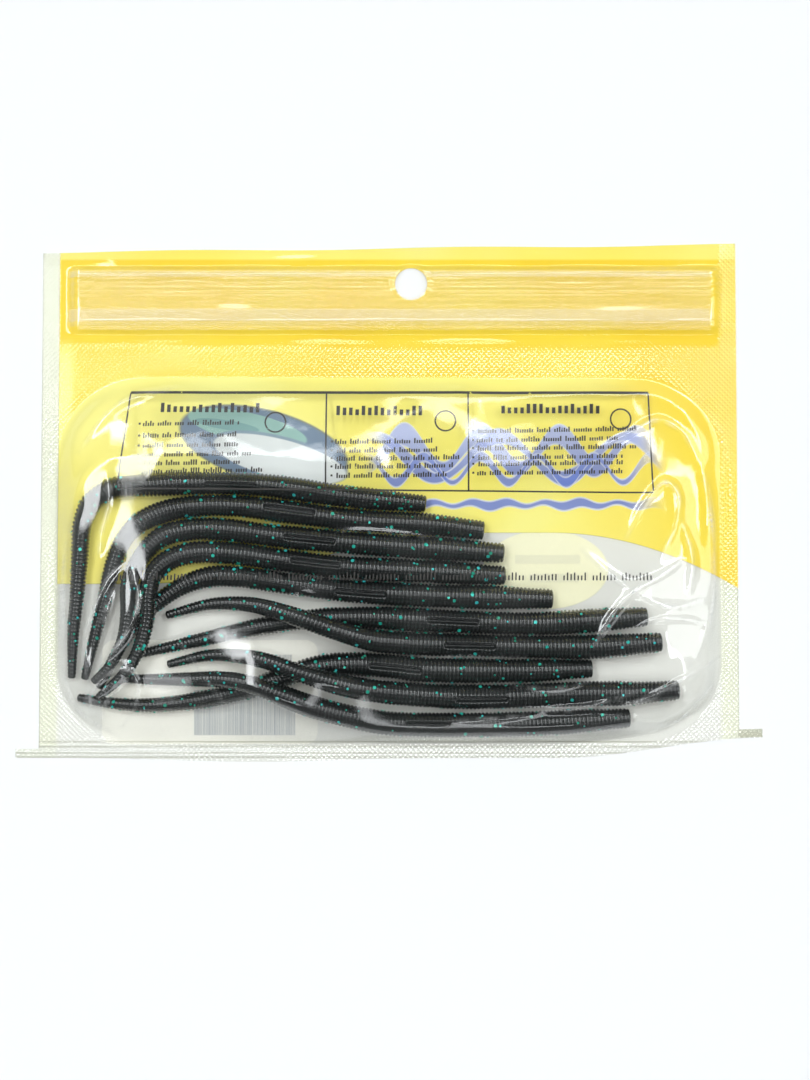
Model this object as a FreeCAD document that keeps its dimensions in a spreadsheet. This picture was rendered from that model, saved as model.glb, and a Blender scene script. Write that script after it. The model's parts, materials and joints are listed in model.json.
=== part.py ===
"""A zip pouch of ten ribbed soft plastic worms, lying flat with its back film down.

Millimetres, +Z up. The origin is the middle of the pouch on the surface that it lies on: +Y points to the
zip and the hang hole, and the worms' heads point to +X.
"""

import math
import os

import FreeCAD, Part
import Sketcher

SIZES = {
    # the two films
    "film": 0.2,
    "pouch_left": -85.8,
    "pouch_right": 85.8,
    "pouch_bottom": -62.8,
    "pouch_top": 62.8,
    "ear_left": -91.5,
    "ear_right": 91.5,
    "ear_top": -60.6,
    "hole_radius": 4.0,
    "hole_across": 5.4,
    "hole_up": 54.1,
    # the pocket that the front film makes over the worms, and its higher left part over the crossings
    "pocket_left": -82.0,
    "pocket_right": 82.0,
    "pocket_bottom": -59.1,
    "pocket_top": 30.8,
    "pocket_corner": 21.0,
    "pocket_rise": 6.2,
    "mound_right": 12.0,
    "mound_top": -2.0,
    "mound_rise": 10.1,
    "wall_draft": 25.0,
    # the mouth: the front film above this line lifts as a lip between the side seals
    "mouth_line": 40.4,
    "mouth_gap": 0.1,
    "lip_left": -80.0,
    "lip_right": 80.0,
    "zip_cover_low": 42.3,
    "zip_cover_high": 57.3,
    "zip_cover_foot": 59.6,
    "zip_cover_rise": 1.55,
    # the press-to-close zip
    "tape_left": -77.0,
    "tape_right": 79.5,
    "tape_bottom": 42.6,
    "tape_top": 57.0,
    "tape_thickness": 0.3,
    "zip_pitch": 2.1,
    "first_rib_up": 51.5,
    "rib_width": 1.0,
    "rib_depth": 0.75,
    "rail_width": 0.7,
    "rail_height": 0.8,
    # the two stickers let into the back film's outside
    "label_thickness": 0.08,
    "oval_across": 38.5,
    "oval_up": -16.7,
    "oval_half_width": 15.4,
    "oval_half_height": 9.7,
    "barcode_left": -70.4,
    "barcode_right": -17.5,
    "barcode_bottom": -59.5,
    "barcode_top": -34.0,
    "barcode_corner": 3.0,
    # the worms
    "worm_clearance": 0.1,
    "head_diameter": 3.9,
    "body_diameter": 5.3,
    "waist_diameter": 4.6,
    "tail_root_diameter": 3.7,
    "tail_tip_diameter": 2.0,
}

RIB_COUNT = 3
WORM_SECTIONS = 30
STEPS_PER_RUN = 24

# The pouch's outline, whose bottom seal sticks out at both ends, as names of sizes across and up.
POUCH_CORNERS = [
    ("pouch_left", "pouch_top"), ("pouch_right", "pouch_top"), ("pouch_right", "ear_top"),
    ("ear_right", "ear_top"), ("ear_right", "pouch_bottom"), ("ear_left", "pouch_bottom"),
    ("ear_left", "ear_top"), ("pouch_left", "ear_top"),
]

# A worm's diameter along it: shares of its length from the head, and shares of a named diameter.
WORM_PROFILE = [
    (0.0, 0.6, "head_diameter"), (0.0063, 0.9, "head_diameter"), (0.0157, 1.0, "head_diameter"),
    (0.118, 1.0, "body_diameter"), (0.433, 0.98, "body_diameter"), (0.646, 1.0, "waist_diameter"),
    (0.772, 0.94, "waist_diameter"), (0.850, 1.0, "tail_root_diameter"), (0.937, 1.4, "tail_tip_diameter"),
    (0.9945, 1.0, "tail_tip_diameter"), (1.0, 0.6, "tail_tip_diameter"),
]

# Each worm's centre line from head to tail: across, up, and how far it is lifted off the back film where
# it crosses over its neighbours.
ROUTES = {
    "worm_01": [
        (9.2, -0.7, 0), (-11.6, 1.3, 0), (-30.5, 3.9, 0), (-46.6, 4.4, 0), (-57.6, 4.0, 0), (-67.7, 3.0, 0),
        (-72.4, 0.2, 0), (-75.0, -5.0, 0), (-75.8, -14.0, 0), (-76.5, -24.0, 0), (-77.3, -32.0, 0),
        (-77.7, -43.5, 0),
    ],
    "worm_02": [
        (23.4, -7.3, 0), (12.6, -6.0, 0), (-8.4, -4.7, 0), (-24.1, -2.8, 0), (-36.7, -1.3, 0),
        (-46.6, -1.2, 0), (-55.2, -2.6, 0), (-62.0, -6.0, 0), (-65.6, -10.6, 0), (-67.7, -16.0, 0),
        (-69.6, -24.0, 0), (-72.2, -34.0, 0), (-74.6, -43.8, 0),
    ],
    "worm_03": [
        (28.3, -12.8, 0), (12.6, -11.7, 0), (-6.9, -10.5, 0), (-27.3, -8.6, 0), (-40.1, -7.0, 0),
        (-48.5, -7.0, 0), (-55.2, -8.6, 0), (-59.8, -12.5, 0), (-62.3, -16.8, 1.0), (-63.4, -21.5, 3.2),
        (-63.4, -27.0, 4.4), (-64.6, -34.0, 4.0), (-67.7, -40.0, 3.2), (-72.2, -44.4, 2.8),
    ],
    "worm_04": [
        (28.6, -18.3, 0), (12.6, -17.4, 0), (-11.6, -16.2, 0), (-24.0, -14.8, 0), (-38.7, -12.8, 0),
        (-48.5, -12.8, 0), (-54.2, -14.8, 0.6), (-57.6, -18.4, 2.2), (-58.5, -23.4, 4.1),
        (-58.7, -29.0, 4.6), (-60.4, -35.5, 4.0), (-64.0, -41.8, 3.4), (-70.9, -48.2, 3.2),
    ],
    "worm_05": [
        (40.2, -24.0, 0), (7.6, -23.1, 0), (-8.4, -22.2, 0), (-24.0, -20.4, 0), (-36.7, -18.6, 0),
        (-43.9, -18.6, 0), (-49.8, -20.4, 0), (-54.8, -23.4, 0), (-59.5, -27.2, 0), (-63.4, -32.0, 0),
        (-67.2, -38.0, 0), (-71.0, -46.0, 0),
    ],
    "worm_06": [
        (63.3, -28.3, 0), (38.4, -29.9, 0), (25.1, -29.8, 0), (7.6, -29.1, 0), (-5.2, -28.5, 0),
        (-18.0, -28.8, 0), (-32.0, -30.8, 0), (-43.3, -33.3, 0), (-55.9, -36.2, 0), (-62.1, -37.7, 0),
    ],
    "worm_07": [
        (66.8, -34.5, 0), (51.5, -35.6, 0), (38.4, -35.7, 0), (20.0, -35.3, 0), (4.0, -34.8, 0),
        (-5.0, -33.9, 1.5), (-13.2, -31.6, 4.2), (-20.2, -29.2, 5.1), (-27.0, -27.0, 3.9),
        (-33.8, -25.4, 1.2), (-43.3, -25.2, 0), (-54.8, -28.0, 0),
    ],
    "worm_08": [
        (49.8, -41.0, 0), (38.4, -41.4, 0), (25.1, -41.5, 0), (7.6, -41.2, 0), (1.0, -40.5, 0),
        (-8.4, -39.9, 0), (-18.0, -40.6, 0), (-24.1, -42.4, 0), (-30.5, -44.8, 0), (-36.7, -46.6, 0),
        (-46.6, -48.7, 0), (-58.9, -49.9, 0), (-68.7, -49.3, 0), (-76.3, -48.0, 0),
    ],
    "worm_09": [
        (70.9, -46.2, 0), (60.3, -46.9, 0), (47.0, -47.1, 0), (29.6, -47.7, 0), (16.3, -47.8, 0),
        (5.0, -47.2, 0.5), (-5.0, -46.2, 2.0), (-14.0, -44.2, 4.5), (-22.0, -41.8, 5.3), (-29.5, -39.2, 4.0),
        (-36.7, -37.9, 1.2), (-44.3, -37.8, 0), (-54.4, -40.0, 0),
    ],
    "worm_10": [
        (58.9, -53.0, 0), (47.3, -53.7, 0), (34.0, -54.4, 0), (16.3, -54.7, 0), (7.6, -54.6, 0),
        (-1.0, -54.2, 0), (-10.4, -52.4, 0.6), (-18.5, -50.2, 2.4), (-26.0, -47.4, 4.7), (-33.0, -44.9, 5.0),
        (-40.2, -43.6, 3.2), (-49.8, -43.6, 0.4), (-59.1, -43.6, 0), (-66.3, -43.4, 0),
    ],
}

document = FreeCAD.newDocument("worm_packet")
sheet = document.addObject("Spreadsheet::Sheet", "Sizes")
for row, (alias, value) in enumerate(SIZES.items(), start=1):
    sheet.set(f"A{row}", alias)
    sheet.set(f"B{row}", str(value))
    sheet.setAlias(f"B{row}", alias)
document.recompute()


# ---- sizes, sketches and features ----


def size(alias):
    return float(sheet.get(alias))


def film_offset(alias, films=0):
    """A sheet size moved outward by whole film thicknesses, as a number and as an expression."""
    number = size(alias) + films * size("film")
    return number, f"Sizes.{alias} + {films} * Sizes.film"


def new_body(label):
    body = document.addObject("PartDesign::Body", label)
    body.Label = label
    return body


def new_sketch(body, name, role="XY_Plane"):
    sketch = body.newObject("Sketcher::SketchObject", name)
    plane = next(item for item in body.Origin.OriginFeatures if item.Role == role)
    sketch.AttachmentSupport = (plane, [""])
    sketch.MapMode = "FlatFace"
    return sketch


def add_datum(sketch, name, expression, kind, *references):
    """A named driving dimension, tied to the sheet."""
    index = sketch.addConstraint(Sketcher.Constraint(kind, *references))
    sketch.renameConstraint(index, name)
    sketch.setExpression(f"Constraints.{name}", expression)


def draw_rectangle(sketch, left, right, bottom, top):
    """A rectangle whose four sides are (number, expression) pairs."""
    corners = [(left, bottom), (right, bottom), (right, top), (left, top)]
    points = [FreeCAD.Vector(across[0], up[0], 0) for across, up in corners]
    first = sketch.GeometryCount
    for k in range(4):
        sketch.addGeometry(Part.LineSegment(points[k], points[(k + 1) % 4]))
    for k in range(4):
        sketch.addConstraint(Sketcher.Constraint("Coincident", first + k, 2, first + (k + 1) % 4, 1))
        sketch.addConstraint(Sketcher.Constraint("Vertical" if k % 2 else "Horizontal", first + k))
    add_datum(sketch, "left", left[1], "DistanceX", -1, 1, first, 1, left[0])
    add_datum(sketch, "right", right[1], "DistanceX", -1, 1, first + 1, 1, right[0])
    add_datum(sketch, "bottom", bottom[1], "DistanceY", -1, 1, first, 1, bottom[0])
    add_datum(sketch, "top", top[1], "DistanceY", -1, 1, first + 2, 1, top[0])


def draw_polygon(sketch, corners):
    """A closed outline through corners, each an (across, up) pair of (number, expression) pairs."""
    points = [FreeCAD.Vector(across[0], up[0], 0) for across, up in corners]
    count = len(points)
    for k in range(count):
        sketch.addGeometry(Part.LineSegment(points[k], points[(k + 1) % count]))
    for k, (across, up) in enumerate(corners):
        sketch.addConstraint(Sketcher.Constraint("Coincident", k, 1, (k - 1) % count, 2))
        add_datum(sketch, f"across_{k}", across[1], "DistanceX", -1, 1, k, 1, across[0])
        add_datum(sketch, f"up_{k}", up[1], "DistanceY", -1, 1, k, 1, up[0])


def draw_round_rectangle(sketch, left, right, bottom, top, radius):
    """A rectangle with round corners, drawn as four sides and four tangent quarter circles."""
    low_x, high_x, low_y, high_y, r = left[0], right[0], bottom[0], top[0], radius[0]
    sides = [
        ((low_x + r, low_y), (high_x - r, low_y)),
        ((high_x, low_y + r), (high_x, high_y - r)),
        ((high_x - r, high_y), (low_x + r, high_y)),
        ((low_x, high_y - r), (low_x, low_y + r)),
    ]
    centres = [
        (high_x - r, low_y + r), (high_x - r, high_y - r), (low_x + r, high_y - r), (low_x + r, low_y + r)
    ]
    quarter = math.pi / 2
    for start, end in sides:
        sketch.addGeometry(Part.LineSegment(FreeCAD.Vector(*start, 0), FreeCAD.Vector(*end, 0)))
    for k, centre in enumerate(centres):
        circle = Part.Circle(FreeCAD.Vector(*centre, 0), FreeCAD.Vector(0, 0, 1), r)
        sketch.addGeometry(Part.ArcOfCircle(circle, (k - 1) * quarter, k * quarter))
    for k in range(4):
        sketch.addConstraint(Sketcher.Constraint("Vertical" if k % 2 else "Horizontal", k))
        sketch.addConstraint(Sketcher.Constraint("Tangent", k, 2, 4 + k, 1))
        sketch.addConstraint(Sketcher.Constraint("Tangent", 4 + k, 2, (k + 1) % 4, 1))
    for k in range(1, 4):
        sketch.addConstraint(Sketcher.Constraint("Equal", 4, 4 + k))
    add_datum(sketch, "corner", radius[1], "Radius", 4, r)
    add_datum(sketch, "left", left[1], "DistanceX", -1, 1, 3, 1, low_x)
    add_datum(sketch, "right", right[1], "DistanceX", -1, 1, 1, 1, high_x)
    add_datum(sketch, "bottom", bottom[1], "DistanceY", -1, 1, 0, 1, low_y)
    add_datum(sketch, "top", top[1], "DistanceY", -1, 1, 2, 1, high_y)


def draw_pouch_outline(sketch):
    draw_polygon(sketch, [(film_offset(across), film_offset(up)) for across, up in POUCH_CORNERS])


def draw_hole(sketch):
    centre = FreeCAD.Vector(size("hole_across"), size("hole_up"), 0)
    circle = sketch.addGeometry(Part.Circle(centre, FreeCAD.Vector(0, 0, 1), size("hole_radius")))
    add_datum(sketch, "radius", "Sizes.hole_radius", "Radius", circle, size("hole_radius"))
    add_datum(sketch, "across", "Sizes.hole_across", "DistanceX", -1, 1, circle, 3, size("hole_across"))
    add_datum(sketch, "up", "Sizes.hole_up", "DistanceY", -1, 1, circle, 3, size("hole_up"))


def add_pad(body, sketch, length, taper=None):
    document.recompute()
    pad = body.newObject("PartDesign::Pad", sketch.Name + "_pad")
    pad.Profile = sketch
    pad.setExpression("Length", length)
    if taper:
        pad.setExpression("TaperAngle", taper)
    document.recompute()
    return pad


def add_cut(body, sketch, length=None, taper=None, side="One side"):
    """Cuts upward from the sketch, or both ways, through everything if no length is given."""
    document.recompute()
    before = body.Shape.Volume
    pocket = body.newObject("PartDesign::Pocket", sketch.Name + "_cut")
    pocket.Profile = sketch
    pocket.Reversed = True
    if length:
        pocket.setExpression("Length", length)
    else:
        pocket.Type = "ThroughAll"
    if taper:
        pocket.setExpression("TaperAngle", taper)
    pocket.SideType = side
    document.recompute()
    if body.Shape.Volume > before - 1e-6:
        raise ValueError(f"{sketch.Name} cuts nothing")


def punch_hang_hole(body, name, side="One side"):
    sketch = new_sketch(body, name)
    draw_hole(sketch)
    add_cut(body, sketch, side=side)


def raise_body(body, expression):
    body.setExpression("Placement.Base.z", expression)


# ---- stickers and back film ----


def make_size_label():
    outline = document.addObject("Part::Ellipse", "oval_outline")
    outline.setExpression("MajorRadius", "Sizes.oval_half_width")
    outline.setExpression("MinorRadius", "Sizes.oval_half_height")
    outline.setExpression("Placement.Base.x", "Sizes.oval_across")
    outline.setExpression("Placement.Base.y", "Sizes.oval_up")
    label = document.addObject("Part::Extrusion", "size_label")
    label.Label = "size_label"
    label.Base = outline
    label.Dir = FreeCAD.Vector(0, 0, 1)
    label.Solid = True
    label.setExpression("LengthFwd", "Sizes.label_thickness")
    return label


def make_barcode_label():
    body = new_body("barcode_label")
    sketch = new_sketch(body, "barcode_outline")
    edges = [film_offset(f"barcode_{edge}") for edge in ("left", "right", "bottom", "top")]
    draw_round_rectangle(sketch, *edges, film_offset("barcode_corner"))
    add_pad(body, sketch, "Sizes.label_thickness")
    return body


def make_back_film(labels):
    """The back sheet with its hang hole, and the stickers let into its outside flush."""
    body = new_body("back_sheet")
    sketch = new_sketch(body, "sheet_outline")
    draw_pouch_outline(sketch)
    add_pad(body, sketch, "Sizes.film")
    punch_hang_hole(body, "back_hole")
    tools = document.addObject("Part::MultiFuse", "label_seats")
    tools.Shapes = labels
    film = document.addObject("Part::Cut", "back_film")
    film.Label = "back_film"
    film.Base = body
    film.Tool = tools
    return film


# ---- front film and lip ----


def pocket_edges(films):
    edges = [
        film_offset("pocket_left", -films), film_offset("pocket_right", films),
        film_offset("pocket_bottom", -films), film_offset("pocket_top", films),
    ]
    return edges, film_offset("pocket_corner", films)


def mound_edges(films):
    edges = [
        film_offset("pocket_left", -films), film_offset("mound_right", films),
        film_offset("pocket_bottom", -films), film_offset("mound_top", films),
    ]
    return edges, film_offset("pocket_corner", films)


def add_dome(body, name, edges_of, rise):
    """The solid outside of a raised part of the film, with leaning walls."""
    sketch = new_sketch(body, name)
    edges, corner = edges_of(1)
    draw_round_rectangle(sketch, *edges, corner)
    add_pad(body, sketch, f"Sizes.{rise} + Sizes.film", "-Sizes.wall_draft")


def hollow_dome(body, name, edges_of, rise):
    sketch = new_sketch(body, name)
    edges, corner = edges_of(0)
    draw_round_rectangle(sketch, *edges, corner)
    add_cut(body, sketch, f"Sizes.{rise}", "-Sizes.wall_draft")


def make_front_film():
    """The film over the worms: a flat margin, the raised pocket, the band above it and two side seals."""
    body = new_body("front_film")
    raise_body(body, "Sizes.film")
    margin = new_sketch(body, "front_margin")
    draw_pouch_outline(margin)
    add_pad(body, margin, "Sizes.film")
    add_dome(body, "front_dome", pocket_edges, "pocket_rise")
    add_dome(body, "front_mound", mound_edges, "mound_rise")
    hollow_dome(body, "front_dome_inside", pocket_edges, "pocket_rise")
    hollow_dome(body, "front_mound_inside", mound_edges, "mound_rise")
    mouth = new_sketch(body, "mouth_opening")
    left = film_offset("lip_left", -1)
    right = film_offset("lip_right", 1)
    draw_rectangle(mouth, left, right, film_offset("mouth_line"), film_offset("pouch_top", 1))
    add_cut(body, mouth)
    return body


def make_front_lip():
    """The film above the sealed band: it lifts at the mouth line, and steps up over the zip."""
    body = new_body("front_lip")
    raise_body(body, "Sizes.film")
    cover = new_sketch(body, "zip_cover", "YZ_Plane")
    flat = (0.0, "0")
    rise = film_offset("zip_cover_rise")
    film_top = film_offset("film")
    cover_top = film_offset("zip_cover_rise", 1)
    mouth_start = (size("mouth_line") + size("mouth_gap"), "Sizes.mouth_line + Sizes.mouth_gap")
    run = [
        (mouth_start, flat, film_top),
        (film_offset("zip_cover_low"), rise, cover_top),
        (film_offset("zip_cover_high"), rise, cover_top),
        (film_offset("zip_cover_foot"), flat, film_top),
        (film_offset("pouch_top"), flat, film_top),
    ]
    inside = [(along, low) for along, low, high in run]
    outside = [(along, high) for along, low, high in reversed(run)]
    draw_polygon(cover, [*inside, *outside])
    pad = add_pad(body, cover, "Sizes.lip_right - Sizes.lip_left")
    pad.SideType = "Symmetric"
    punch_hang_hole(body, "lip_hole")
    return body


# ---- zip ----


def add_zip_bars(body, name, count, low, width, height_from, height_to):
    """Straight bars along the tape, one pitch apart, on the tape's own cross section."""
    sketch = new_sketch(body, name, "YZ_Plane")
    high = (low[0] + size(width), f"{low[1]} + Sizes.{width}")
    draw_rectangle(sketch, low, high, height_from, height_to)
    document.recompute()
    bar = body.newObject("PartDesign::Pad", name + "_pad")
    bar.Profile = sketch
    bar.SideType = "Two sides"
    bar.setExpression("Length", "Sizes.tape_right")
    bar.setExpression("Length2", "-Sizes.tape_left")
    document.recompute()
    pattern = body.newObject("PartDesign::LinearPattern", name + "_row")
    pattern.Originals = [bar]
    pattern.Direction = (sketch, ["H_Axis"])
    pattern.Mode = "Spacing"
    pattern.setExpression("Offset", "Sizes.zip_pitch")
    pattern.Occurrences = count
    body.Tip = pattern
    document.recompute()


def draw_tape(body, name):
    sketch = new_sketch(body, name)
    draw_rectangle(sketch, *[film_offset(f"tape_{edge}") for edge in ("left", "right", "bottom", "top")])
    return sketch


def make_zip_groove_tape():
    """The tape on the back film: a flat base with rails that leave one channel for each rib."""
    body = new_body("zip_groove_tape")
    raise_body(body, "Sizes.film")
    add_pad(body, draw_tape(body, "groove_base"), "Sizes.tape_thickness")
    half = 0.5 * (size("zip_pitch") + size("rail_width"))
    low = (size("first_rib_up") - half, "Sizes.first_rib_up - (Sizes.zip_pitch + Sizes.rail_width) / 2")
    base = film_offset("tape_thickness")
    rail_top = (
        size("tape_thickness") + size("rail_height"), "Sizes.tape_thickness + Sizes.rail_height"
    )
    add_zip_bars(body, "groove_rail", RIB_COUNT + 1, low, "rail_width", base, rail_top)
    punch_hang_hole(body, "groove_hole")
    return body


def make_zip_ridge_tape():
    """The tape under the lip, whose ribs press into the channels."""
    body = new_body("zip_ridge_tape")
    raise_body(body, "Sizes.film + Sizes.zip_cover_rise - Sizes.tape_thickness")
    add_pad(body, draw_tape(body, "ridge_base"), "Sizes.tape_thickness")
    low = (size("first_rib_up") - 0.5 * size("rib_width"), "Sizes.first_rib_up - Sizes.rib_width / 2")
    rib_low = (-size("rib_depth"), "-Sizes.rib_depth")
    add_zip_bars(body, "ridge_rib", RIB_COUNT, low, "rib_width", rib_low, (0.0, "0"))
    punch_hang_hole(body, "ridge_hole", "Symmetric")
    return body


# ---- worms ----


def along_route(points):
    """A smooth curve through the points, as close points: a centripetal Catmull-Rom spline."""
    knots = [FreeCAD.Vector(*point) for point in points]
    knots = [knots[0] * 2 - knots[1], *knots, knots[-1] * 2 - knots[-2]]
    curve = []
    for before, start, end, after in zip(knots, knots[1:], knots[2:], knots[3:]):
        gaps = [flat_distance(a, b) ** 0.5 for a, b in ((before, start), (start, end), (end, after))]
        leave = end - start
        leave += ((start - before) / gaps[0] - (end - before) / (gaps[0] + gaps[1])) * gaps[1]
        arrive = end - start
        arrive += ((after - end) / gaps[2] - (after - start) / (gaps[1] + gaps[2])) * gaps[1]
        for step in range(STEPS_PER_RUN):
            t = step / STEPS_PER_RUN
            point = start * (2 * t**3 - 3 * t**2 + 1) + leave * (t**3 - 2 * t**2 + t)
            curve.append(point + end * (3 * t**2 - 2 * t**3) + arrive * (t**3 - t**2))
    return curve + [knots[-2]]


def flat_distance(a, b):
    return ((b.x - a.x) ** 2 + (b.y - a.y) ** 2) ** 0.5


def worm_diameter(share):
    """The diameter at a share of the worm's length: round head, full body, long taper, thin tail."""
    stops = [(along, part * size(name)) for along, part, name in WORM_PROFILE]
    for (near, thin), (far, thick) in zip(stops, stops[1:]):
        if share <= far:
            return thin + (thick - thin) * (share - near) / (far - near)
    return stops[-1][1]


def point_at(curve, distances, wanted):
    for k in range(1, len(curve)):
        if distances[k] >= wanted:
            share = (wanted - distances[k - 1]) / (distances[k] - distances[k - 1])
            return curve[k - 1] + (curve[k] - curve[k - 1]) * share
    return curve[-1]


def worm_solid(points):
    """A tapered round body lofted through circles set square to the centre line."""
    curve = along_route(points)
    distances = [0.0]
    for a, b in zip(curve, curve[1:]):
        distances.append(distances[-1] + a.distanceToPoint(b))
    total = distances[-1]
    middle = [4.0 + (total - 8.0) * k / (WORM_SECTIONS - 1) for k in range(WORM_SECTIONS)]
    marks = [0.0, 0.8, 2.0, *middle, total - 1.6, total - 0.7, total]
    diameters = [worm_diameter(mark / total) for mark in marks]
    floor = size("film") + size("worm_clearance") + 0.5 * size("body_diameter")
    centres = []
    for mark, diameter in zip(marks, diameters):
        centre = point_at(curve, distances, mark)
        drop = 0.5 * (size("body_diameter") - max(diameter, size("tail_tip_diameter")))
        lift = max(centre.z, 0.0)
        centres.append(FreeCAD.Vector(centre.x, centre.y, lift + floor - drop))
    upright = FreeCAD.Vector(0, 0, 1)
    rings = []
    for k, (centre, diameter) in enumerate(zip(centres, diameters)):
        before = centres[max(k - 1, 0)]
        after = centres[min(k + 1, len(centres) - 1)]
        heading = (after - before).normalize()
        turn = FreeCAD.Rotation(upright.cross(heading), upright, heading, "ZXY")
        ring = Part.Wire(Part.makeCircle(0.5 * diameter))
        ring.Placement = FreeCAD.Placement(centre, turn)
        rings.append(ring)
    print("worm length", round(total, 1))
    return Part.makeLoft(rings, True, True)


def make_worm(label, points):
    worm = document.addObject("Part::Feature", label)
    worm.Label = label
    worm.Shape = worm_solid(points)
    worm.Placement = FreeCAD.Placement()
    return worm


# ---- the packet ----


def check_objects():
    for item in document.Objects:
        if any(state in ("Invalid", "Error") for state in item.State):
            raise ValueError(f"{item.Name} failed: {item.State}")


def export(parts):
    os.makedirs("parts", exist_ok=True)
    for part in parts:
        if part.Shape.isNull() or not part.Shape.isValid() or not part.Shape.Solids:
            raise ValueError(f"{part.Label} has no valid solid")
        part.Shape.exportStep(f"parts/{part.Label}.step")
        print(part.Label, round(part.Shape.Volume, 1), "mm3,", len(part.Shape.Solids), "solid")


size_label = make_size_label()
barcode_label = make_barcode_label()
back_film = make_back_film([size_label, barcode_label])
front_film = make_front_film()
front_lip = make_front_lip()
zip_groove_tape = make_zip_groove_tape()
zip_ridge_tape = make_zip_ridge_tape()
worms = [make_worm(label, points) for label, points in ROUTES.items()]
document.recompute()
check_objects()
export([size_label, barcode_label, back_film, front_film, front_lip, zip_groove_tape, zip_ridge_tape, *worms])
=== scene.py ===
"""Looks of a clear zip pouch of ten ribbed soft plastic worms, lying with its printed back film down.

Lengths in this script are millimetres until a mesh is made, where MM turns them into metres. +X runs along
the worms towards their heads, +Y towards the zip and the hang hole, +Z up out of the front film.
"""

import json
import math

import bpy
import numpy as np
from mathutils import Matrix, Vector


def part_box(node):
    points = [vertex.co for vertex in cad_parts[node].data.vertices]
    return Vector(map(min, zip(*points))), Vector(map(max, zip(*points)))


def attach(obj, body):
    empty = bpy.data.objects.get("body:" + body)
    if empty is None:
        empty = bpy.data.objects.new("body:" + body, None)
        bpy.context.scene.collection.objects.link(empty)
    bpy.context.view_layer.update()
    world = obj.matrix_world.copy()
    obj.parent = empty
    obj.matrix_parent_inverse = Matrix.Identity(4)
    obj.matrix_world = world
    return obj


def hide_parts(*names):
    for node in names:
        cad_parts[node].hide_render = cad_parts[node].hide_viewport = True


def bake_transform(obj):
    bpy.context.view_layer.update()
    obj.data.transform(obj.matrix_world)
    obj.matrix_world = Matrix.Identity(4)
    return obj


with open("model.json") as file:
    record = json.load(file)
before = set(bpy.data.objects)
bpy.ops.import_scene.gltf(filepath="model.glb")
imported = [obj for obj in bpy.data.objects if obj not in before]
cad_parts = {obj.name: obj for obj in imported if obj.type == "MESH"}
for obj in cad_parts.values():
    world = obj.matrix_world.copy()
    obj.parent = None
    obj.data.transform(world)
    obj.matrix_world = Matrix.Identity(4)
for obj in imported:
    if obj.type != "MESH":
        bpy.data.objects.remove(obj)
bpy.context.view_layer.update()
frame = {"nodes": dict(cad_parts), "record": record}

MM = 0.001
SEED = 11


def box_mm(node):
    """A CAD node's lowest and highest corners at rest, in millimetres."""
    low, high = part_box(node)
    return [c / MM for c in low], [c / MM for c in high]


# ---- sizes ----

(EAR_LEFT, BOTTOM, _), (EAR_RIGHT, TOP, FILM) = box_mm("back_film")
(LIP_LEFT, MOUTH, _), (LIP_RIGHT, _, _) = box_mm("front_lip")
(TAPE_LEFT, TAPE_BOTTOM, _), (TAPE_RIGHT, TAPE_TOP, TAPE_HIGH) = box_mm("zip_ridge_tape")
HOLE = next(m for m in frame["record"]["mounts"] if m["name"] == "hang_hole")
HOLE_X, HOLE_Y = HOLE["pos_m"][0] / MM, HOLE["pos_m"][1] / MM
HOLE_R = HOLE["dims"]["r_mm"]
HINGE = next(j for j in frame["record"]["behaviour"]["joints"] if j["name"] == "mouth_open")
SLIDE = next(j for j in frame["record"]["behaviour"]["joints"] if j["name"] == "worm_01_slide")
PLAY = SLIDE["range_m"][1] / MM

SIDE = 85.8  # half the pouch's width without its ears
EAR_TOP = -60.6
POCKET = (-82.0, 82.0, -59.1, 30.8)  # left, right, bottom, top of the pocket's seal line
POCKET_CORNER = 21.0
SKIN = FILM + 0.12  # height of the front film where it is sealed to the back film
HATCH_PITCH = 1.25  # of the heat seals' diamonds
BEND_FROM = 30.0  # the lip's film and the ridge tape are split here into a middle and two sides
TAPE_RIBS = (51.5, 53.6, 55.7)  # middles of the zip's ribs
HOLE_MARGIN = 5.0  # the films' grid lines are close together within this of the hang hole
PRINT_LEFT = -81.6

WORM_LENGTH = 127.0
WORM_GAP = 0.1  # between a worm and the back film
RIB_PITCH = 0.93
RIB_DEPTH = 0.42
RIB_PHASES = (0.0, 0.1, 0.28, 0.5, 0.72, 0.9)  # a rib's cross-sections, from groove to groove
AROUND = 40  # points round a worm
SWELL_ROOM = 1.0  # the most of a gap beside a worm that counts as room to swell
SLOT_CENTRE, SLOT_HALF, SLOT_WIDE, SLOT_DEPTH = 48.0, 6.4, 0.72, 1.2
FLAKES = 150
FLAKE_SIZES, FLAKE_SHARES = (0.2, 0.31, 0.45), (0.35, 0.4, 0.25)
FLAKE_UNDER, FLAKE_OVER = -0.05, 0.035  # a flake's two faces, from its middle

FLOOR_HALF, FLOOR_GAP = 1500.0, 0.15

# Soft bright panels in the studio's ceiling, as slopes from straight overhead: across, up, half sizes and
# strength. Each fades out over its edge.
PANEL_EDGE = 0.05
CEILING = [
    (-0.40, 0.30, 0.07, 0.42, 8.5),
    (0.46, 0.34, 0.05, 0.28, 9.0),
    (0.10, 0.62, 0.50, 0.05, 4.5),
    (0.90, 0.10, 0.32, 0.45, 2.3),
    (0.0, -0.60, 0.25, 0.06, 3.0),
]

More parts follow.
